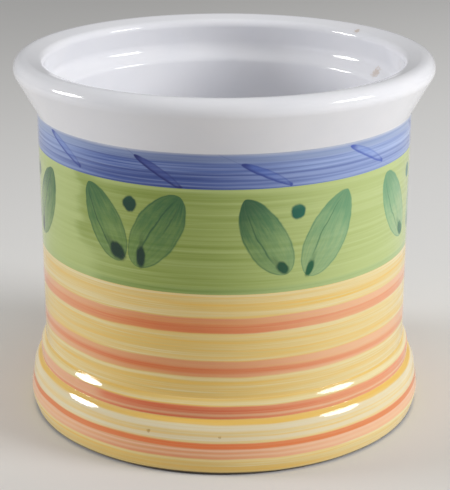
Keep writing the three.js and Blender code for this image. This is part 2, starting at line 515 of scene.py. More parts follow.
class Sheet:
    """A node tree, with short calls that add nodes and join them."""

    columns = 12
    cell = (180, -220)
    contrast = (0.3, 0.7)

    def __init__(self, tree: bpy.types.NodeTree) -> None:
        """Works on one node tree."""
        self.tree = tree

    def add(self, kind: str, **settings: object) -> bpy.types.Node:
        """Adds a node in the next free cell.

        Args:
            kind: Type of the node.
            settings: Its options.

        Returns:
            The new node.
        """
        node = self.tree.nodes.new(kind)
        row, column = divmod(len(self.tree.nodes), self.columns)
        node.location = (self.cell[0] * column, self.cell[1] * row)
        for name, value in settings.items():
            setattr(node, name, value)
        return node

    def feed(self, socket: Socket, value: Feed) -> None:
        """Joins a wire to a socket, or sets the socket's value.

        Args:
            socket: Input of a node.
            value: What it gets.
        """
        if isinstance(value, Wire):
            self.tree.links.new(value.socket, socket)
        else:
            socket.default_value = value

    def run(self, kind: str, values: tuple[Feed, ...], **settings: object) -> Wire:
        """Adds a node and feeds it.

        Args:
            kind: Type of the node.
            values: What its first inputs get.
            settings: Its options.

        Returns:
            Its first output.
        """
        node = self.add(kind, **settings)
        for socket, value in zip(node.inputs, values):
            self.feed(socket, value)
        return Wire(self, node.outputs[0])

    def math(self, operation: str, *values: Number, clamp: bool = False) -> Wire:
        """Adds a Math node."""
        return self.run("ShaderNodeMath", values, operation=operation, use_clamp=clamp)

    def vector(self, operation: str, *values: Feed) -> Wire:
        """Adds a Vector Math node."""
        return self.run("ShaderNodeVectorMath", values, operation=operation)

    def combine(self, x: Number, y: Number, z: Number) -> Wire:
        """Joins three numbers to a vector."""
        return self.run("ShaderNodeCombineXYZ", (x, y, z))

    def split(self, vector: Wire) -> tuple[Wire, ...]:
        """Splits a vector.

        Args:
            vector: The vector.

        Returns:
            Its three numbers.
        """
        node = self.add("ShaderNodeSeparateXYZ")
        self.feed(node.inputs[0], vector)
        return tuple(Wire(self, socket) for socket in node.outputs)

    def most(self, first: Number, second: Number) -> Wire:
        """Returns the greater of two numbers."""
        return self.math("MAXIMUM", first, second)

    def length(self, first: Wire, *others: Wire) -> Wire:
        """Measures a vector.

        Args:
            first: Its first number.
            others: Its other numbers.

        Returns:
            Its length.
        """
        square = first * first
        for other in others:
            square = square + other * other
        return self.math("SQRT", square)

    def fade(self, value: Number, start: Number, end: Number, low: float = 0.0, high: float = 1.0) -> Wire:
        """Goes smoothly from low to high as a value goes from start to end."""
        values = (value, start, end, low, high)
        return self.run("ShaderNodeMapRange", values, interpolation_type="SMOOTHSTEP")

    def rise(
        self, value: Number, at: Number, before: Number, after: Number, low: float = 0.0, high: float = 1.0
    ) -> Wire:
        """Goes smoothly from low to high round a place, from a way before it to a way after it."""
        return self.fade(value, at - before, at + after, low, high)

    def noise(self, place: Wire, scale: float, detail: float = 2.0, rough: float = 0.5) -> Wire:
        """Adds a noise pattern.

        Args:
            place: Where on it a point lies.
            scale: How fine it is.
            detail: Number of its finer layers.
            rough: How strong they are.

        Returns:
            The pattern, from 0 to 1.
        """
        node = self.add("ShaderNodeTexNoise")
        for name, value in (("Vector", place), ("Scale", scale), ("Detail", detail), ("Roughness", rough)):
            self.feed(node.inputs[name], value)
        return Wire(self, node.outputs["Fac"])

    def wobble(self, place: Wire, scale: float, detail: float = 2.0, rough: float = 0.5) -> Wire:
        """Adds a noise pattern that goes both ways from 0."""
        return self.noise(place, scale, detail, rough) - 0.5

    def blotches(self, place: Wire, scale: float, detail: float = 2.0, rough: float = 0.5) -> Wire:
        """Adds a noise pattern with more contrast."""
        return self.fade(self.noise(place, scale, detail, rough), *self.contrast)

    def mix(self, share: Number, under: Feed, over: Feed) -> Wire:
        """Lays one colour over another.

        Args:
            share: How far it covers, from 0 to 1.
            under: Colour below.
            over: Colour above.

        Returns:
            The mixed colour.
        """
        node = self.add("ShaderNodeMix", data_type="RGBA", clamp_factor=True)
        self.feed(node.inputs["Factor"], share)
        self.feed(node.inputs[6], under)
        self.feed(node.inputs[7], over)
        return Wire(self, node.outputs[2])

    def attribute(self, name: str) -> Wire:
        """Reads a vector that is kept on the mesh."""
        return Wire(self, self.add("ShaderNodeAttribute", attribute_name=name).outputs["Vector"])

    def bump(self, height: Wire, strength: float, distance: float) -> Wire:
        """Adds a relief.

        Args:
            height: Its pattern.
            strength: How far it shows.
            distance: Its depth in metres.

        Returns:
            The normal that shows it.
        """
        node = self.add("ShaderNodeBump")
        for name, value in (("Height", height), ("Strength", strength), ("Distance", distance)):
            self.feed(node.inputs[name], value)
        return Wire(self, node.outputs["Normal"])

    def effect(self, tree: bpy.types.NodeTree, **feeds: Feed) -> dict[str, Wire]:
        """Places a shared effect.

        Args:
            tree: Node group of the effect.
            feeds: What its inputs get, by name.

        Returns:
            Its outputs by name.
        """
        node = self.add("ShaderNodeGroup", node_tree=tree)
        for name, value in feeds.items():
            self.feed(node.inputs[name], value)
        return {socket.name: Wire(self, socket) for socket in node.outputs}


class Effect:
    """A shared node group while it is being made."""

    def __init__(self, name: str, inputs: dict[str, Feed], outputs: tuple[str, ...]) -> None:
        """Makes the group and its sockets.

        Args:
            name: Name of the group.
            inputs: Default value of each input, where three numbers make a vector.
            outputs: Names of the output values.
        """
        self.tree = bpy.data.node_groups.new(name, "ShaderNodeTree")
        for label, value in inputs.items():
            kind = "NodeSocketVector" if isinstance(value, tuple) else "NodeSocketFloat"
            socket = self.tree.interface.new_socket(name=label, in_out="INPUT", socket_type=kind)
            socket.default_value = value
        for label in outputs:
            self.tree.interface.new_socket(name=label, in_out="OUTPUT", socket_type="NodeSocketFloat")
        self.sheet = Sheet(self.tree)
        sockets = self.sheet.add("NodeGroupInput").outputs
        self.given = {socket.name: Wire(self.sheet, socket) for socket in sockets}
        self.result = self.sheet.add("NodeGroupOutput").inputs

    def put(self, **values: Wire) -> bpy.types.NodeTree:
        """Joins the results to the outputs.

        Args:
            values: The results, by output name.

        Returns:
            The finished group.
        """
        for name, value in values.items():
            self.sheet.feed(self.result[name], value)
        return self.tree


class BrushEffects:
    """The shared brush and glaze effects, each built once."""

    def __init__(self) -> None:
        """Builds every effect."""
        self.streaks = self.make_streaks()
        self.height = self.make_height()
        self.line = self.make_line()
        self.leaf = self.make_leaf()
        self.dash = self.make_dash()
        self.drop = self.make_drop()
        self.skin = self.make_skin()
        self.mark = self.make_mark()

    @staticmethod
    def make_streaks() -> bpy.types.NodeTree:
        """Makes the long level streaks that a brush leaves on a turning pot.

        Returns:
            The node group.
        """
        inputs = {"Place": ORIGIN, "Width": 1.0, "Reach": 80.0, "Seed": 0.0}
        effect = Effect("brush streaks", inputs, ("Streak",))
        s, given = effect.sheet, effect.given
        along = 1.0 / given["Reach"]
        place = s.vector("MULTIPLY", given["Place"], s.combine(along, along, 1.0 / given["Width"]))
        place = s.vector("ADD", place, s.combine(given["Seed"], 0.0, given["Seed"]))
        return effect.put(Streak=s.blotches(place, 1.0, 2.0, 0.6))

    @staticmethod
    def make_height() -> bpy.types.NodeTree:
        """Makes the height on the pot, as a brush line that leans and wanders sees it.

        Returns:
            The node group.
        """
        inputs = {"Place": ORIGIN, "Lean": 0.0, "Wander": 0.3, "Seed": 0.0}
        effect = Effect("wandering height", inputs, ("Height",))
        s, given = effect.sheet, effect.given
        x, y, z = s.split(given["Place"])
        drift = s.wobble(s.combine(x, y, given["Seed"] * 50.0), 0.03) * (given["Wander"] * 4.0)
        lean = given["Lean"] * (x / 80.0)
        return effect.put(Height=z - lean + drift)

    @staticmethod
    def make_line() -> bpy.types.NodeTree:
        """Makes the cover of one level brush line between two heights, with soft edges.

        Returns:
            The node group.
        """
        inputs = {"Height": 0.0, "Low": 0.0, "High": 1.0, "Soft": 0.2, "Streak": 0.5, "Patchy": 0.3}
        effect = Effect("brush line", inputs, ("Cover",))
        s, given = effect.sheet, effect.given
        height, soft = given["Height"], given["Soft"]
        past_low = s.rise(height, given["Low"], soft, soft)
        past_high = s.rise(height, given["High"], soft, soft)
        band = s.math("SUBTRACT", past_low, past_high, clamp=True)
        thin = given["Patchy"] * (1.0 - given["Streak"])
        return effect.put(Cover=band * (1.0 - thin))

    @staticmethod
    def make_leaf() -> bpy.types.NodeTree:
        """Makes one brushed leaf, from a place on it, its form and its look.

        A place is the share of the leaf's length from -1 to 1, the way across it and its number.

        Returns:
            The node group.
        """
        inputs = {"Place": ORIGIN, "Form": (8.5, 0.0, 0.6), "Look": (0.0, 0.5, 0.0)}
        effect = Effect("brushed leaf", inputs, ("Cover", "Tone", "Ink"))
        s, given = effect.sheet, effect.given
        t, across, number = s.split(given["Place"])
        half_width, bend, blunt = s.split(given["Form"])
        vein_at, shade, second = s.split(given["Look"])
        foot_taper, edge_wobble, end_cut = 0.52, 1.1, 40.0
        seed = number * 13.7
        mid = across - bend * s.most(1.0 - t * t, 0.0)
        half = half_width * s.most(1.0 - t, 0.0) ** blunt * s.most(t + 1.0, 0.0) ** foot_taper
        rough = s.wobble(s.combine(t * 17.0, across, seed), 0.2)
        past_end = s.most(abs(t) - 1.0, 0.0)
        depth = half - abs(mid) + rough * edge_wobble - past_end * end_cut
        shape = s.fade(depth, -0.3, 0.5)
        side = mid / s.most(half, 0.5)
        feather = s.blotches(s.combine(t * 1.8, side * 6.5, seed), 1.0, 3.0, 0.65)
        wash = s.blotches(s.combine(t * 2.2, side, seed + 5.0), 1.0)
        upper = s.fade(t + wash * 0.4, -0.5, 1.1)
        tone = s.math("ADD", upper * shade + feather * 0.38, wash * 0.12, clamp=True)
        cover = shape * (upper * 0.26 + feather * 0.16 + 0.52)
        ink = s.fade(abs(depth - 0.45), 0.05, 0.5, 0.5, 0.0)
        swayed = side + (wash - 0.5) * 0.08
        for start, strength, low in ((vein_at, 0.85, -0.8), (vein_at + 0.45, second, -0.2)):
            vein = s.fade(abs(swayed - start) * half, 0.08, 0.5, 1.0, 0.0)
            vein = vein * s.fade(t, low, low + 0.5) * s.fade(t, 0.6, 0.98, 1.0, 0.25)
            ink = s.most(ink, vein * strength)
        ink = s.most(ink, s.fade(t, 0.1, 0.95) * (shade * shade))
        return effect.put(Cover=cover, Tone=tone, Ink=ink * shape)

    @staticmethod
    def make_drop() -> bpy.types.NodeTree:
        """Makes one drop of thick paint from a place on it, where its edge is at a distance of 1.

        Returns:
            The node group.
        """
        inputs = {"Place": ORIGIN, "Tail": 0.0, "Soft": 0.2}
        effect = Effect("paint drop", inputs, ("Cover", "Tone"))
        s, given = effect.sheet, effect.given
        along, across, number = s.split(given["Place"])
        rough = s.wobble(s.combine(along, across, number * 9.1), 0.9)
        full = 1.0 - given["Soft"]
        edge = full + given["Soft"] * 1.7
        drop = s.fade(s.length(along, across) + rough * 0.5, full, edge, 1.0, 0.0)
        tail = s.fade(abs(across), 0.1, 0.7, 1.0, 0.0) * s.fade(along, 0.6, 2.6, 0.6, 0.0)
        tail = tail * s.fade(along, -0.6, 0.4) * given["Tail"]
        return effect.put(Cover=s.most(drop, tail), Tone=s.fade(along + rough, 0.1, 1.1))

    @staticmethod
    def make_dash() -> bpy.types.NodeTree:
        """Makes one slanting dash from a place on it, which is given as for a leaf.

        Returns:
            The node group.
        """
        effect = Effect("brushed dash", {"Place": ORIGIN}, ("Cover", "Ink"))
        s = effect.sheet
        half_length, half_width, hook_at = 11.8, 1.75, 0.94
        t, across, number = s.split(effect.given["Place"])
        rest = s.most(1.0 - t * t, 0.0)
        rough = s.wobble(s.combine(t * half_length, across, number * 7.9), 0.3)
        mid = across - rest * 0.5 + rough * 0.5
        half = rest**0.5 * half_width
        shape = s.fade(half - abs(mid), -0.2, 0.35)
        low = s.fade(mid + half, 0.4, 1.35, 0.9, 0.0)
        high = s.fade(half - mid, 0.2, 0.9, 0.4, 0.0)
        ends = s.most(s.fade(t, -0.55, -0.9), s.fade(t, 0.7, 0.95))
        ink = shape * s.most(s.most(low, high), ends)
        hook = s.length((t - hook_at) * half_length, mid)
        ink = s.most(ink, s.fade(hook, 0.45, 1.05, 1.0, 0.0))
        return effect.put(Cover=shape * s.fade(t, -0.6, 0.8, 0.95, 0.4), Ink=ink)

    @staticmethod
    def make_skin() -> bpy.types.NodeTree:
        """Makes the faint unevenness of the fired glaze: its relief and its roughness.

        Returns:
            The node group.
        """
        effect = Effect("glaze skin", {"Place": ORIGIN, "Rough": 0.07}, ("Relief", "Roughness"))
        s, given = effect.sheet, effect.given
        broad = s.noise(given["Place"], 0.09)
        fine = s.noise(given["Place"], 0.55)
        uneven = (broad - 0.5) * 0.05
        return effect.put(Relief=broad * 0.8 + fine * 0.2, Roughness=given["Rough"] + uneven)

    @staticmethod
    def make_mark() -> bpy.types.NodeTree:
        """Makes the cover of one small rough mark round a spot on the pot.

        Returns:
            The node group.
        """
        effect = Effect("stray mark", {"Place": ORIGIN, "Spot": ORIGIN, "Size": 1.0}, ("Cover",))
        s, given = effect.sheet, effect.given
        way = s.vector("SUBTRACT", given["Place"], given["Spot"])
        rough = s.wobble(given["Place"], 1.1, 3.0, 0.7)
        far = s.length(*s.split(way)) / given["Size"] + rough * 2.2
        return effect.put(Cover=s.fade(far, 0.4, 1.0, 1.0, 0.0))


@dataclass(frozen=True)
class Mark:
    """A small chip or speck on the pot, with its angle in degrees and its lengths in millimetres."""

    angle: float
    radius: float
    height: float
    size: float
    cover: float
    paint: Pigment

    @property
    def spot(self) -> Triple:
        """The mark's middle, in millimetres."""
        turn = math.radians(self.angle)
        return (self.radius * math.sin(turn), -self.radius * math.cos(turn), self.height)


@dataclass(frozen=True)
class BrushLine:
    """One level brush line: its heights in millimetres, its colour and how it was laid.

    Where start is given, the brush was set down that far to the right of the pot's middle.
    """

    low: float
    high: float
    paint: Pigment
    cover: float
    soft: float = 0.35
    lean: float = 0.0
    patchy: float = 0.35
    start: float | None = None


@dataclass(frozen=True)
class Streaks:
    """Level brush streaks: their width and reach in millimetres, and the seed of their pattern."""

    width: float
    reach: float
    seed: float


@dataclass(frozen=True)
class Ground:
    """A brushed ground: its colour and the paler and deeper streaks in it."""

    paint: Pigment
    pale: Pigment
    deep: Pigment
    pale_share: float
    deep_share: float
    seed: float


class Finish:
    """A material while it is being made: its sheet, its shader and where a point lies on the pot."""

    def __init__(self, name: str) -> None:
        """Starts a material with a Principled shader.

        Args:
            name: Name of the material.
        """
        self.material = bpy.data.materials.new(name)
        self.material.use_nodes = True
        self.sheet = Sheet(self.material.node_tree)
        self.shader = self.material.node_tree.nodes["Principled BSDF"]
        metres = Wire(self.sheet, self.sheet.add("ShaderNodeTexCoord").outputs["Object"])
        self.place = self.sheet.vector("MULTIPLY", metres, (1 / MM, 1 / MM, 1 / MM))

    def dressed(self, **looks: Feed) -> bpy.types.Material:
        """Feeds the shader.

        Args:
            looks: What its inputs get, by name with _ for a space.

        Returns:
            The finished material.
        """
        for name, value in looks.items():
            self.sheet.feed(self.shader.inputs[name.replace("_", " ")], value)
        return self.material


class BrushedGlaze(Finish):
    """A painted and fired glaze, whose paints turn to paler colours towards the pot's sides as painted
    side light.
    """

    relief = 0.00012
    relief_strength = 0.25
    refraction = 1.55
    # Painted light on the right side: from 18 mm left of the middle to 62 mm right of it, paints turn up
    # to three quarters of the way to their paler colours.
    side_light_right = (-18.0, 62.0, 0.0, 0.75)
    broad = Streaks(2.2, 85.0, 0.0)
    narrow = Streaks(0.55, 60.0, 3.1)
    thick = Streaks(0.9, 70.0, 7.7)
    in_lines = Streaks(0.5, 55.0, 21.3)
    wander = 0.3
    brush_start = (5.0, 2.0, 0.25)

    def __init__(self, name: str, effects: BrushEffects, side_light_left: Triple = (26.0, 80.0, 0.7)) -> None:
        """Starts the glaze.

        Args:
            name: Name of the material.
            effects: Shared effects.
            side_light_left: How far left of the middle the painted side light begins and ends, in
                millimetres, and its last share.
        """
        super().__init__(name)
        self.effects = effects
        self.side_light_left = side_light_left

    @cached_property
    def x(self) -> Wire:
        """How far to the right of the pot's middle a point lies, in millimetres."""
        return self.sheet.split(self.place)[0]

    @cached_property
    def side_light(self) -> Wire:
        """How much painted side light a point gets, which grows from the middle of the pot's front to its
        sides.

        Returns:
            The share, from 0 to 1.
        """
        # Painted light on the left side: paints turn paler further to the left.
        start, end, last = self.side_light_left
        left = self.sheet.fade(self.x, -start, -end, 0.0, last)
        return self.sheet.most(left, self.sheet.fade(self.x, *self.side_light_right))

    def paint(self, pigment: Pigment, share: Wire | None = None) -> Feed:
        """Mixes a paint towards its paler colour, as painted side light.

        Args:
            pigment: The paint.
            share: How far it turns to its paler colour, where that isn't the painted side light.

        Returns:
            Its colour.
        """
        if pigment.thin is None:
            return pigment.linear
        return self.sheet.mix(self.side_light if share is None else share, pigment.linear, pigment.thin.linear)

    def fired(self, colour: Wire, rough: float) -> bpy.types.Material:
        """Lays the fired glaze over a colour.

        Args:
            colour: Painted colour.
            rough: Mean roughness of the glaze.

        Returns:
            The finished material.
        """
        skin = self.sheet.effect(self.effects.skin, Place=self.place, Rough=rough)
        normal = self.sheet.bump(skin["Relief"], self.relief_strength, self.relief)
        return self.dressed(
            Base_Color=colour, Roughness=skin["Roughness"], Normal=normal, IOR=self.refraction
        )

    def streaks(self, kind: Streaks, seed: float = 0.0) -> Wire:
        """Lays level brush streaks.

        Args:
            kind: Their width, reach and seed.
            seed: What is added to the seed.

        Returns:
            Their pattern, from 0 to 1.
        """
        sizes = {"Width": kind.width, "Reach": kind.reach, "Seed": kind.seed + seed}
        return self.sheet.effect(self.effects.streaks, Place=self.place, **sizes)["Streak"]

    def ground(self, ground: Ground) -> Wire:
        """Brushes a ground in level streaks.

        Args:
            ground: Its colours.

        Returns:
            The painted colour.
        """
        broad = self.streaks(self.broad, ground.seed)
        pale = broad * self.streaks(self.narrow, ground.seed) * ground.pale_share
        deep = (1.0 - broad) * self.streaks(self.thick, ground.seed) * ground.deep_share
        colour = self.sheet.mix(pale, self.paint(ground.paint), ground.pale.linear)
        return self.sheet.mix(deep, colour, self.paint(ground.deep))

    def lines(self, colour: Wire, lines: tuple[BrushLine, ...]) -> Wire:
        """Lays level brush lines over a colour, one after another.

        Args:
            colour: Colour under the lines.
            lines: The lines, from first to last.

        Returns:
            The painted colour.
        """
        s, effects = self.sheet, self.effects
        streak = self.streaks(self.in_lines)
        heights: dict[float, Wire] = {}
        for line in lines:
            if line.lean not in heights:
                course = {"Lean": line.lean, "Wander": self.wander, "Seed": float(len(heights))}
                heights[line.lean] = s.effect(effects.height, Place=self.place, **course)["Height"]
            cover = s.effect(
                effects.line,
                Height=heights[line.lean],
                Low=line.low,
                High=line.high,
                Soft=line.soft,
                Streak=streak,
                Patchy=line.patchy,
            )["Cover"]
            if line.start is not None:
                cover = cover * s.rise(self.x, line.start, *self.brush_start)
            colour = s.mix(cover * line.cover, colour, self.paint(line.paint))
        return colour

    def marks(self, colour: Wire, marks: tuple[Mark, ...]) -> Wire:
        """Lays small brown marks over a colour.

        Args:
            colour: Colour under the marks.
            marks: The marks.

        Returns:
            The marked colour.
        """
        for mark in marks:
            spot = self.sheet.effect(self.effects.mark, Place=self.place, Spot=mark.spot, Size=mark.size)
            colour = self.sheet.mix(spot["Cover"] * mark.cover, colour, mark.paint.linear)
        return colour


@dataclass(frozen=True)
class Drop:
    """A drop of thick paint: its middle and upper end, placed as a leaf's ends are, and its slimness."""

    middle: Point
    end: Point
    slim: float


@dataclass(frozen=True)
class Leaf:
    """One leaf, its pool of thick paint and its look.

    Its tip and foot are angles from the sprig's dot in degrees and heights in millimetres.
    """

    tip: Point
    foot: Point
    pool: Drop
    half_width: float
    bend: float
    blunt: float
    vein: float
    shade: float
    second: float


class Side(Enum):
    """The two leaves of a sprig, and what each adds to the sprig's number."""

    LEFT = 0.0
    RIGHT = 0.5

    def of(self, stroke: str) -> str:
        """Names what the mesh keeps of a stroke on this side."""
        return stroke + "_" + self.name.lower()


@dataclass(frozen=True)
class Sprig:
    """A dot and the two leaves under it."""

    angle: float
    height: float
    left: Leaf
    right: Leaf

    def leaf(self, side: Side) -> Leaf:
        """Returns the leaf on one side."""
        return self.left if side is Side.LEFT else self.right


@dataclass(frozen=True)
class Dash:
    """One slanting dash, from its upper left end to its lower right end."""

    start: Point
    end: Point

    @property
    def angle(self) -> float:
        """The angle of the dash's middle."""
        return (self.start[0] + self.end[0]) / 2

    @property
    def half(self) -> tuple[Point, Point]:
        """The dash's middle and its lower right end, with angles from the middle."""
        return ((0.0, (self.start[1] + self.end[1]) / 2), (self.end[0] - self.angle, self.end[1]))


def read(items: bpy.types.bpy_prop_collection, name: str, width: int, kind: type = float) -> np.ndarray:
    """Reads one property of many parts of a mesh.

    Args:
        items: Corners, edges, faces or face corners.
        name: The property.
        width: How many numbers it has.
        kind: Type of the numbers.

    Returns:
        One row for each item.
    """
    values = np.empty(len(items) * width, kind)
    items.foreach_get(name, values)
    return values.reshape(-1, width)


def angle_of(spots: np.ndarray) -> np.ndarray:
    """Returns the angle of each spot from the pot's front, in degrees."""
    return np.degrees(np.arctan2(spots[:, 0], -spots[:, 1]))


class WallPlaces:
    """Where each face corner of a band lies on the nearest of the strokes that go round it."""

    def __init__(self, piece: bpy.types.Object, angles: list[float], radius: float) -> None:
        """Finds each corner's nearest stroke, its height and its way round from that stroke.

        Args:
            piece: Turned band.
            angles: Each stroke's angle from the front, in degrees.
            radius: Radius of the wall in millimetres.
        """
        mesh = piece.data
        self.piece = piece
        spots = read(mesh.vertices, "co", 3)[read(mesh.loops, "vertex_index", 1, int)[:, 0]]
        sizes = read(mesh.polygons, "loop_total", 1, int)[:, 0]
        face_angle = np.repeat(angle_of(read(mesh.polygons, "center", 3)), sizes)
        around = np.array(angles)
        self.nearest = np.abs(turn_from(face_angle[:, None], around[None, :])).argmin(1)
        self.number = self.nearest.astype(float)
        self.per_degree = math.radians(radius)
        self.x = turn_from(angle_of(spots), around[self.nearest]) * self.per_degree
        self.height = spots[:, 2] / MM

    def own(self, rows: list[object]) -> np.ndarray:
        """Gives each corner the row of its nearest stroke."""
        return np.array(rows)[self.nearest]

    def measure(self, lines: list[tuple[Point, Point]]) -> tuple[np.ndarray, np.ndarray, np.ndarray]:
        """Measures every corner against its own stroke's line.

        Args:
            lines: Each stroke's line, as two places of an angle and a height.

        Returns:
            The share of the line's length, the way across it and its length, for each corner.
        """
        ends = self.own(lines)
        ends[:, :, 0] *= self.per_degree
        start, way = ends[:, 0], ends[:, 1] - ends[:, 0]
        length = np.linalg.norm(way, axis=1)
        dx, dy = self.x - start[:, 0], self.height - start[:, 1]
        along = (dx * way[:, 0] + dy * way[:, 1]) / length**2
        across = (dx * way[:, 1] - dy * way[:, 0]) / length
        return along, across, length

    def keep(self, name: str, *parts: np.ndarray) -> None:
        """Keeps three numbers at each corner, under a name that the material reads."""
        attribute = self.piece.data.attributes.new(name, "FLOAT_VECTOR", "CORNER")
        attribute.data.foreach_set("vector", np.stack(parts, axis=1).astype(np.float32).ravel())


@dataclass
class CoatedPart:
    """One turned part of the pot: its name, the solids it stands for and its slot in the record."""

    shape: PotShape
    effects: BrushEffects
    name: str
    nodes: tuple[str, ...]
    slot: str

    def section(self) -> Chain:
        """Returns the part's section in millimetres."""
        raise NotImplementedError

    def finish(self) -> bpy.types.Material:
        """Makes the part's material."""
        raise NotImplementedError

    def mark(self, piece: bpy.types.Object) -> None:
        """Keeps on the mesh what the material reads from it."""

    def build(self) -> bpy.types.Object:
        """Turns the part, dresses it and ties it to the frame.

        Returns:
            The finished piece.
        """
        piece = turned(self.name, self.section())
        self.mark(piece)
        piece.data.materials.append(self.finish())
        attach(piece, "root")
        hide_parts(*self.nodes)
        log.info("%s: %d faces", piece.name, len(piece.data.polygons))
        return piece


@dataclass
class ClayPot(CoatedPart):
    """The fired body under the coats, bare at its foot ring."""

    foot_shade_before: float = 0.6
    foot_shade_after: float = 0.2
    grit_relief: float = 0.0003
    grit_strength: float = 0.6

    def section(self) -> Chain:
        """Returns the body's section."""
        return self.shape.clay()

    def finish(self) -> bpy.types.Material:
        """Makes bare fired clay, matt and gritty, with painted shade along the foot's edge.

        Returns:
            The finished material.
        """
        finish = Finish("bare clay")
        s = finish.sheet
        grit = s.fade(s.noise(finish.place, 1.6, 3.0, 0.7), 0.45, 0.75)
        wear = s.fade(s.noise(finish.place, 0.12, 3.0), 0.35, 0.7)
        colour = s.mix(grit * 0.5, Pigment.CLAY.linear, Pigment.CLAY_DARK.linear)
        colour = s.mix(wear * 0.3, colour, Pigment.CLAY_DARK.linear)
        # Painted shade: the clay darkens at the foot ring's outer edge, where the pot meets the floor; the
        # wear pattern varies its strength.
        out = s.length(*s.split(finish.place)[:2])
        edge = s.rise(out, self.shape.foot_outer, self.foot_shade_before, self.foot_shade_after)
        foot_shade = edge * s.fade(wear, 0.0, 1.0, 0.75, 1.0)
        return finish.dressed(
            Base_Color=s.mix(foot_shade, colour, Pigment.CONTACT_SHADE.linear),
            Roughness=s.fade(grit, 0.0, 1.0, 0.78, 0.95),
            Normal=s.bump(grit, self.grit_strength, self.grit_relief),
        )


@dataclass
class WhiteCoat(CoatedPart):
    """The white coat over the collar, the lip, the lid seat and the inside."""

    marks: tuple[Mark, ...] = ()
    glaze: str = "white glaze"
    rough: float = 0.06

    def section(self) -> Chain:
        """Returns the coat's section."""
        return self.shape.white_coat()

    def finish(self) -> bpy.types.Material:
        """Makes glossy white glaze with a faint cool unevenness.

        Returns:
            The finished material.
        """
        finish = BrushedGlaze(self.glaze, self.effects)
        cool = finish.sheet.blotches(finish.place, 0.05, 3.0) * 0.35
        colour = finish.sheet.mix(cool, Pigment.WHITE.linear, Pigment.WHITE_COOL.linear)
        return finish.fired(finish.marks(colour, self.marks), self.rough)


@dataclass
class UndersideCoat(WhiteCoat):
    """The white coat in the hollow of the foot."""

    glaze: str = "underside glaze"

    def section(self) -> Chain:
        """Returns the coat's section."""
        return self.shape.underside()


@dataclass
class PaintedBand(CoatedPart):
    """A painted band of the wall, with its level brush lines."""

    lines: tuple[BrushLine, ...] = ()
    rough: float = 0.07

    def section(self) -> Chain:
        """Draws the band over all the solids that it stands for.

        Returns:
            Its section, from the lowest solid's foot to the highest solid's top.
        """
        boxes = [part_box(node) for node in self.nodes]
        low = max(min(box[0].z for box in boxes) / MM, self.shape.glaze_line)
        return self.shape.coat(low, max(box[1].z for box in boxes) / MM)


@dataclass
class BlueBand(PaintedBand):
    """The blue band under the collar, with its slanting dashes."""

    dashes: tuple[Dash, ...] = ()
    ground: Ground = Ground(Pigment.BLUE, Pigment.BLUE_PALE, Pigment.BLUE_DEEP, 0.7, 0.8, 1.0)

    def mark(self, piece: bpy.types.Object) -> None:
        """Keeps each corner's place on its nearest dash.

        Args:
            piece: Turned band.
        """
        places = WallPlaces(piece, [dash.angle for dash in self.dashes], self.shape.body_radius)
        along, across, _ = places.measure([dash.half for dash in self.dashes])
        places.keep("dash", along, -across, places.number)

    def finish(self) -> bpy.types.Material:
        """Makes the brushed blue glaze with its dashes.

        Returns:
            The finished material.
        """
        finish = BrushedGlaze("blue glaze", self.effects, side_light_left=(42.0, 72.0, 0.55))
        s = finish.sheet
        colour = finish.lines(finish.ground(self.ground), self.lines)
        dash = s.effect(self.effects.dash, Place=s.attribute("dash"))
        # Painted side light: the dashes' wash covers less towards the pot's sides.
        lit_dash_cover = s.fade(finish.side_light, 0.1, 0.6, 0.85, 0.3)
        colour = s.mix(dash["Cover"] * lit_dash_cover, colour, finish.paint(Pigment.DASH_WASH))
        colour = s.mix(dash["Ink"] * 0.9, colour, finish.paint(Pigment.DASH_INK))
        return finish.fired(colour, self.rough)


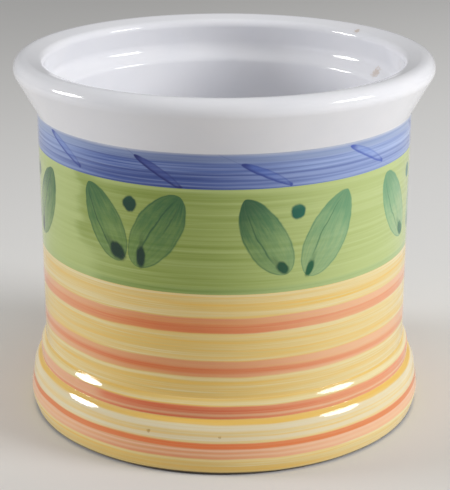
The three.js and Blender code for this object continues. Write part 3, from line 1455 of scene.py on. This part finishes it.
@dataclass
class GreenBand(PaintedBand):
    """The green band, with its leaf sprigs."""

    sprigs: tuple[Sprig, ...] = ()
    ground: Ground = Ground(Pigment.GREEN, Pigment.GREEN_PALE, Pigment.GREEN_DEEP, 0.5, 0.7, 2.0)
    dot_radius: float = 3.15
    overlap_at: float = -58.0
    overlap_width: float = 9.0
    overlap_foot: float = 90.0
    overlap_edge: Streaks = Streaks(5.0, 40.0, 41.0)
    # How far right of the middle the painted right-side light on the sprigs becomes full, in millimetres.
    right_side_light_end: float = 60.0

    def mark(self, piece: bpy.types.Object) -> None:
        """Keeps each corner's place on the dot, the leaves and the pools of its nearest sprig.

        Args:
            piece: Turned band.
        """
        places = WallPlaces(piece, [sprig.angle for sprig in self.sprigs], self.shape.body_radius)
        dot_up = places.height - places.own([sprig.height for sprig in self.sprigs])
        places.keep("dot", dot_up / self.dot_radius, places.x / self.dot_radius, places.number)
        for side in Side:
            number = places.number + side.value
            leaves = [sprig.leaf(side) for sprig in self.sprigs]
            share, across, _ = places.measure([(leaf.foot, leaf.tip) for leaf in leaves])
            places.keep(side.of("leaf"), share * 2 - 1, across, number)
            share, across, length = places.measure([(leaf.pool.middle, leaf.pool.end) for leaf in leaves])
            wide = places.own([leaf.pool.slim for leaf in leaves]) * length
            places.keep(side.of("pool"), share, across / wide, number)
            form = places.own([(leaf.half_width, leaf.bend, leaf.blunt) for leaf in leaves])
            places.keep(side.of("form"), *form.T)
            look = places.own([(leaf.vein, leaf.shade, leaf.second) for leaf in leaves])
            places.keep(side.of("look"), *look.T)

    def overlap(self, finish: BrushedGlaze, colour: Wire) -> Wire:
        """Thins the ground on the left and thickens it where the brush met its own start.

        Args:
            finish: Material being made.
            colour: Green ground.

        Returns:
            The ground with its overlap.
        """
        s = finish.sheet
        x, _, z = s.split(finish.place)
        x = x + s.fade(finish.streaks(self.overlap_edge), 0.0, 1.0, -1.5, 1.5)
        shift = s.rise(z, self.overlap_foot, 8.0, 4.0, -7.0, 0.0)
        thin = s.rise(x + shift, self.overlap_at, 5.0, 4.0, 0.5, 0.0)
        colour = s.mix(thin, colour, Pigment.GREEN_PALE.linear)
        thick = s.rise(x, self.overlap_at, 2.0, 2.0, 0.0, 0.45)
        thick = thick * s.rise(x, self.overlap_at + self.overlap_width, 5.0, 5.0, 1.0, 0.0)
        thick = thick * s.rise(z, self.overlap_foot, 4.0, 6.0)
        return s.mix(thick, colour, Pigment.GREEN_DEEP.linear)

    def finish(self) -> bpy.types.Material:
        """Makes the brushed green glaze with its sprigs.

        Returns:
            The finished material.
        """
        finish = BrushedGlaze("green glaze", self.effects, side_light_left=(26.0, 80.0, 0.6))
        s = finish.sheet
        colour = finish.lines(finish.ground(self.ground), self.lines)
        colour = self.overlap(finish, colour)
        # Painted right-side light: the leaves, their pools and the dots turn to their paler colours
        # towards the right.
        right_side_light = s.fade(finish.x, 0.0, self.right_side_light_end)
        wash = finish.paint(Pigment.LEAF_WASH, right_side_light)
        deep = finish.paint(Pigment.LEAF_DEEP, right_side_light)
        ink = finish.paint(Pigment.LEAF_INK, right_side_light)
        pooled = finish.paint(Pigment.LEAF_POOL, right_side_light)
        for side in Side:
            leaf = s.effect(
                self.effects.leaf,
                Place=s.attribute(side.of("leaf")),
                Form=s.attribute(side.of("form")),
                Look=s.attribute(side.of("look")),
            )
            pool = s.effect(self.effects.drop, Place=s.attribute(side.of("pool")), Tail=0.8, Soft=0.32)
            colour = s.mix(leaf["Cover"], colour, s.mix(leaf["Tone"], wash, deep))
            colour = s.mix(leaf["Ink"] * 0.75, colour, ink)
            colour = s.mix(pool["Cover"], colour, pooled)
        dot = s.effect(self.effects.drop, Place=s.attribute("dot"))
        # Painted highlight: the dot turns lighter towards its top.
        lit_dot = s.mix(dot["Tone"] * 0.3, finish.paint(Pigment.DOT, right_side_light), deep)
        return finish.fired(s.mix(dot["Cover"], colour, lit_dot), self.rough)


@dataclass
class StripedWall(PaintedBand):
    """The yellow lower wall and stepped base, with its orange stripes."""

    marks: tuple[Mark, ...] = ()
    ground: Ground = Ground(Pigment.YELLOW, Pigment.YELLOW_PALE, Pigment.YELLOW_GOLD, 0.7, 0.9, 5.0)

    def finish(self) -> bpy.types.Material:
        """Makes the brushed yellow glaze with its stripes.

        Returns:
            The finished material.
        """
        finish = BrushedGlaze("striped glaze", self.effects)
        colour = finish.lines(finish.ground(self.ground), self.lines)
        return finish.fired(finish.marks(colour, self.marks), self.rough)


CHIPS = (
    Mark(129.5, 78.0, 154.8, 2.0, 0.55, Pigment.CHIP),
    Mark(116.5, 76.4, 138.4, 3.4, 0.5, Pigment.CHIP),
)
SPECKS = (
    Mark(-21.0, 85.2, 17.4, 0.95, 0.6, Pigment.SPECK),
    Mark(-1.3, 85.2, 17.0, 0.7, 0.5, Pigment.SPECK),
)

LEFT_LEAVES = (
    Leaf(
        tip=(-14.6, 116.4), foot=(-3.1, 86.4), pool=Drop((-4.4, 90.2), (-6.6, 93.2), 0.75),
        half_width=8.2, bend=0.3, blunt=0.62, vein=-0.42, shade=0.5, second=0.0,
    ),
    Leaf(
        tip=(-15.3, 114.9), foot=(-2.7, 83.6), pool=Drop((-4.5, 86.2), (-6.2, 88.5), 0.65),
        half_width=8.6, bend=-0.9, blunt=0.62, vein=-0.32, shade=0.95, second=0.35,
    ),
    Leaf(
        tip=(-18.8, 115.8), foot=(-5.8, 84.6), pool=Drop((-7.2, 87.8), (-8.9, 90.6), 0.7),
        half_width=8.6, bend=-0.4, blunt=0.55, vein=-0.36, shade=0.7, second=0.3,
    ),
)
RIGHT_LEAVES = (
    Leaf(
        tip=(15.3, 115.6), foot=(1.2, 85.6), pool=Drop((3.4, 89.6), (3.6, 94.4), 0.45),
        half_width=9.5, bend=0.0, blunt=0.55, vein=-0.16, shade=0.5, second=0.7,
    ),
    Leaf(
        tip=(16.6, 114.5), foot=(3.2, 81.6), pool=Drop((3.9, 84.6), (4.9, 88.2), 0.42),
        half_width=9.2, bend=0.3, blunt=0.64, vein=-0.34, shade=0.7, second=0.3,
    ),
    Leaf(
        tip=(15.6, 115.2), foot=(2.4, 83.6), pool=Drop((3.5, 87.2), (4.3, 91.0), 0.5),
        half_width=9.0, bend=0.2, blunt=0.58, vein=-0.2, shade=0.5, second=0.5,
    ),
)

SPRIGS = (
    Sprig(-130.0, 109.8, LEFT_LEAVES[1], RIGHT_LEAVES[0]),
    Sprig(-77.0, 110.0, LEFT_LEAVES[0], RIGHT_LEAVES[2]),
    Sprig(-27.7, 110.7, LEFT_LEAVES[0], RIGHT_LEAVES[0]),
    Sprig(21.1, 108.7, LEFT_LEAVES[1], RIGHT_LEAVES[1]),
    Sprig(74.1, 110.3, LEFT_LEAVES[2], RIGHT_LEAVES[2]),
    Sprig(126.0, 109.4, LEFT_LEAVES[0], RIGHT_LEAVES[1]),
    Sprig(178.0, 110.5, LEFT_LEAVES[2], RIGHT_LEAVES[0]),
)

DASHES = (
    Dash((-156.4, 131.2), (-141.4, 120.6)),
    Dash((-124.6, 130.6), (-109.8, 119.8)),
    Dash((-92.8, 131.4), (-77.6, 120.9)),
    Dash((-61.2, 132.0), (-45.4, 121.3)),
    Dash((-25.9, 130.8), (-11.7, 118.8)),
    Dash((4.7, 129.0), (19.3, 119.7)),
    Dash((38.2, 131.7), (52.6, 121.7)),
    Dash((74.0, 131.0), (88.6, 120.4)),
    Dash((105.8, 130.4), (120.4, 120.0)),
    Dash((137.6, 131.3), (152.6, 120.8)),
    Dash((170.4, 130.7), (185.2, 120.2)),
)

BLUE_LINES = (
    BrushLine(119.0, 124.6, Pigment.BLUE_DEEP, 0.35, 0.9),
    BrushLine(129.4, 133.5, Pigment.BLUE_GREY, 0.6, 0.7),
    BrushLine(128.8, 129.3, Pigment.BLUE_DEEP, 0.55, 0.25),
    BrushLine(126.6, 127.0, Pigment.BLUE_DEEP, 0.35, 0.25),
    BrushLine(124.3, 125.1, Pigment.BLUE_DEEP, 0.8, 0.25),
    BrushLine(122.1, 122.8, Pigment.BLUE_DEEP, 0.65, 0.25),
    BrushLine(120.9, 121.3, Pigment.BLUE_DEEP, 0.4, 0.2),
    BrushLine(119.7, 120.3, Pigment.BLUE_PALE, 0.35, 0.25),
    BrushLine(118.7, 119.5, Pigment.BLUE_DEEP, 0.6, 0.2),
    BrushLine(132.5, 134.5, Pigment.WHITE_COOL, 0.7, 0.9),
)

GREEN_LINES = (
    BrushLine(117.4, 119.5, Pigment.GREEN_PALE, 0.6, 0.5),
    BrushLine(114.0, 116.2, Pigment.GREEN_DEEP, 0.6, 0.5),
    BrushLine(111.6, 112.4, Pigment.GREEN_DEEP, 0.35, 0.4),
    BrushLine(106.8, 107.8, Pigment.GREEN_DEEP, 0.35, 0.4),
    BrushLine(101.6, 102.6, Pigment.GREEN_DEEP, 0.4, 0.4),
    BrushLine(97.4, 98.4, Pigment.GREEN_DEEP, 0.5, 0.4),
    BrushLine(94.7, 96.0, Pigment.GREEN_DEEP, 0.75, 0.4),
    BrushLine(92.2, 93.2, Pigment.GREEN_DEEP, 0.5, 0.4),
    BrushLine(89.4, 90.8, Pigment.GREEN_DEEP, 0.6, 0.4),
    BrushLine(86.0, 88.6, Pigment.GREEN_DEEP, 0.25, 0.6),
    BrushLine(84.4, 85.2, Pigment.GREEN_DEEP, 0.35, 0.4),
    BrushLine(79.4, 82.2, Pigment.GREEN_DEEP, 0.35, 0.7),
    BrushLine(75.5, 78.4, Pigment.LEAF_WASH, 0.3, 0.8),
)

STRIPES = (
    BrushLine(74.9, 75.8, Pigment.YELLOW_PALE, 0.5, 0.3),
    BrushLine(70.4, 72.8, Pigment.YELLOW_GOLD, 0.25, 1.0, 0.0, 0.6),
    BrushLine(67.2, 68.8, Pigment.YELLOW_PALE, 0.4, 0.6, 0.0, 0.6),
    BrushLine(59.6, 66.0, Pigment.ORANGE, 0.92, 0.4, 0.6, 0.25),
    BrushLine(59.8, 62.8, Pigment.ORANGE_DEEP, 0.55, 0.5, 0.6),
    BrushLine(62.4, 63.2, Pigment.ORANGE_DEEP, 0.5, 0.35, 0.6, 0.6),
    BrushLine(63.8, 66.0, Pigment.ORANGE_PINK, 0.25, 0.5, 0.6, 0.6),
    BrushLine(57.6, 58.9, Pigment.YELLOW_PALE, 0.45, 0.5, 0.6, 0.7),
    BrushLine(48.2, 49.2, Pigment.YELLOW_PALE, 0.25, 0.5, 0.0, 0.6),
    BrushLine(40.8, 47.7, Pigment.ORANGE, 0.85, 0.45, 0.4, 0.25),
    BrushLine(44.6, 47.6, Pigment.ORANGE_PINK, 0.45, 0.6, 0.4, 0.5),
    BrushLine(42.2, 44.5, Pigment.ORANGE_DEEP, 0.85, 0.8, -0.6, 0.35),
    BrushLine(40.8, 42.3, Pigment.ORANGE_PINK, 0.35, 0.4, 0.0, 0.5),
    BrushLine(39.1, 40.4, Pigment.YELLOW_PALE, 0.6, 0.4, 0.4, 0.5),
    BrushLine(35.2, 37.6, Pigment.YELLOW_GOLD, 0.25, 1.0, 0.0, 0.6),
    BrushLine(30.9, 32.0, Pigment.YELLOW_GOLD, 0.8, 0.4, 0.0, 0.5),
    BrushLine(29.0, 30.2, Pigment.YELLOW_PALE, 0.65, 0.35, 0.0, 0.4),
    BrushLine(23.3, 28.6, Pigment.ORANGE_PINK, 0.95, 0.25, 0.0, 0.2),
    BrushLine(25.4, 28.5, Pigment.ORANGE_DEEP, 0.9, 0.45, 0.0, 0.35, -50.0),
    BrushLine(23.3, 24.5, Pigment.ORANGE_DEEP, 0.85, 0.3),
    BrushLine(21.4, 23.2, Pigment.YELLOW_GOLD, 0.85, 0.3),
    BrushLine(14.4, 21.2, Pigment.CREAM, 0.35, 0.6),
    BrushLine(19.2, 21.2, Pigment.CREAM, 0.65, 0.45),
    BrushLine(17.0, 17.5, Pigment.YELLOW_GOLD, 0.3, 0.25),
    BrushLine(15.3, 16.8, Pigment.CREAM, 0.6, 0.4),
    BrushLine(7.8, 14.2, Pigment.ORANGE_PINK, 0.92, 0.25, 0.0, 0.2),
    BrushLine(12.0, 14.3, Pigment.ORANGE_BRIGHT, 0.92, 0.35, -0.3, 0.2),
    BrushLine(11.0, 11.6, Pigment.PINK_PALE, 0.75, 0.25),
    BrushLine(10.0, 10.6, Pigment.ORANGE, 0.6, 0.25),
    BrushLine(9.2, 9.7, Pigment.PINK_PALE, 0.5, 0.25),
    BrushLine(7.9, 8.8, Pigment.ORANGE, 0.6, 0.3),
    BrushLine(6.7, 7.6, Pigment.YELLOW_PALE, 0.45, 0.4),
    BrushLine(2.0, 4.0, Pigment.YELLOW_GOLD, 0.25, 0.8),
    # Painted shade along the glaze's lower edge, where the pot meets the floor.
    BrushLine(0.0, 1.4, Pigment.CONTACT_SHADE, 0.85, 0.25),
)


@dataclass(frozen=True)
class Lamp:
    """A round softbox: the way to it, its sizes in metres, its power and whether the glaze mirrors it."""

    name: str
    way: Triple
    distance: float
    width: float
    height: float
    power: float
    roll: float
    mirrored: bool = True


@dataclass(frozen=True)
class Studio:
    """A plain floor, the softboxes, an even room and the camera."""

    camera_place: Triple = (0.0003, -0.634, 0.2911)
    camera_pitch: float = 19.32
    lens: float = 111.63
    sensor: float = 36.0
    aim_height: float = 0.08
    world_level: float = 0.28
    floor_size: float = 8.0
    floor_parts: int = 8
    floor_pale: Span = (-180.0, 120.0)
    floor_grey: Span = (100.0, 1300.0)
    floor_lean: float = 1.4
    floor_rough: float = 0.85
    floor_gloss: float = 0.2
    lamps: tuple[Lamp, ...] = (
        Lamp("left softbox", (-0.9527, 0.0106, 0.3057), 1.8, 0.68, 0.4, 14.3, 21.0),
        Lamp("right softbox", (0.874, -0.2726, 0.404), 1.8, 0.86, 0.42, 10.2, -18.0, mirrored=False),
        Lamp("right softbox face", (0.874, -0.2726, 0.404), 1.75, 0.76, 0.4, 9.0, -18.0),
        Lamp("top softbox", (0.15, -0.3, 1.0), 1.5, 0.9, 0.9, 3.0, 0.0, mirrored=False),
    )

    def build(self) -> None:
        """Makes the camera, the lamps, the world and the floor."""
        self.make_camera()
        for lamp in self.lamps:
            self.make_lamp(lamp)
        self.make_world()
        self.make_floor()

    def make_camera(self) -> None:
        """Makes the camera at the photograph's place and angle."""
        data = bpy.data.cameras.new("camera")
        data.lens = self.lens
        data.sensor_width = self.sensor
        data.sensor_fit = "AUTO"
        camera = bpy.data.objects.new("camera", data)
        bpy.context.scene.collection.objects.link(camera)
        tilt = Matrix.Rotation(math.radians(90 - self.camera_pitch), 4, "X")
        camera.matrix_world = Matrix.Translation(self.camera_place) @ tilt
        bpy.context.scene.camera = camera

    def make_lamp(self, lamp: Lamp) -> None:
        """Makes one softbox that faces the pot.

        Args:
            lamp: Its place, sizes and power.
        """
        data = bpy.data.lights.new(lamp.name, "AREA")
        data.shape = "ELLIPSE"
        data.size = lamp.width
        data.size_y = lamp.height
        data.energy = lamp.power
        light = bpy.data.objects.new(lamp.name, data)
        light.visible_glossy = lamp.mirrored
        bpy.context.scene.collection.objects.link(light)
        way = Vector(lamp.way).normalized()
        light.location = way * lamp.distance + Vector((0, 0, self.aim_height))
        roll = Matrix.Rotation(math.radians(lamp.roll), 4, "Z")
        light.rotation_euler = (way.to_track_quat("Z", "Y").to_matrix().to_4x4() @ roll).to_euler()

    def make_world(self) -> None:
        """Makes a dim even room."""
        world = bpy.data.worlds.new("room")
        bpy.context.scene.world = world
        world.use_nodes = True
        background = world.node_tree.nodes["Background"]
        background.inputs["Color"].default_value = (1.0, 1.0, 1.0, 1.0)
        background.inputs["Strength"].default_value = self.world_level

    def make_floor(self) -> None:
        """Makes the floor, which goes from pale round the pot to grey behind it and to the left, as
        painted falloff of the lamps' light.
        """
        bpy.ops.object.select_all(action="DESELECT")
        bpy.ops.mesh.primitive_grid_add(
            x_subdivisions=self.floor_parts, y_subdivisions=self.floor_parts, size=self.floor_size
        )
        floor = bpy.context.object
        floor.name = "floor"
        finish = Finish("floor")
        s = finish.sheet
        x, y, _ = s.split(finish.place)
        # Painted light: paler round the pot than nearer the camera, and grey further back and to the left,
        # where the lamps' light falls off.
        pale = s.fade(y, *self.floor_pale)
        colour = s.mix(pale, Pigment.FLOOR_NEAR.linear, Pigment.FLOOR_MID.linear)
        grey = s.fade(y - x * self.floor_lean, *self.floor_grey)
        material = finish.dressed(
            Base_Color=s.mix(grey, colour, Pigment.FLOOR_FAR.linear),
            Roughness=self.floor_rough,
            Specular_IOR_Level=self.floor_gloss,
        )
        floor.data.materials.append(material)


def main() -> None:
    """Builds the pot on its frame, and then the studio."""
    logging.basicConfig(level=logging.INFO, format="%(name)s %(message)s")
    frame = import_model()
    bpy.context.scene.view_settings.view_transform = "Standard"
    log.info("%d solids in the frame", len(frame["nodes"]))
    pot = (PotShape(), BrushEffects())
    striped = tuple(sorted(n for n in frame["nodes"] if n.startswith(("yellow_band", "orange_stripe"))))
    parts: tuple[CoatedPart, ...] = (
        ClayPot(*pot, "clay_pot", ("clay_body",), "clay"),
        WhiteCoat(*pot, "white_coat", ("white_glaze",), "white_glaze", marks=CHIPS),
        UndersideCoat(*pot, "underside_coat", ("underside_glaze",), "white_glaze"),
        BlueBand(*pot, "blue_coat", ("blue_band",), "blue_glaze", lines=BLUE_LINES, dashes=DASHES),
        GreenBand(*pot, "green_coat", ("green_band",), "green_glaze", lines=GREEN_LINES, sprigs=SPRIGS),
        StripedWall(*pot, "striped_coat", striped, "yellow_glaze", lines=STRIPES, marks=SPECKS),
    )
    for part in parts:
        part.build()
    Studio().build()


if __name__ == "__main__":
    main()
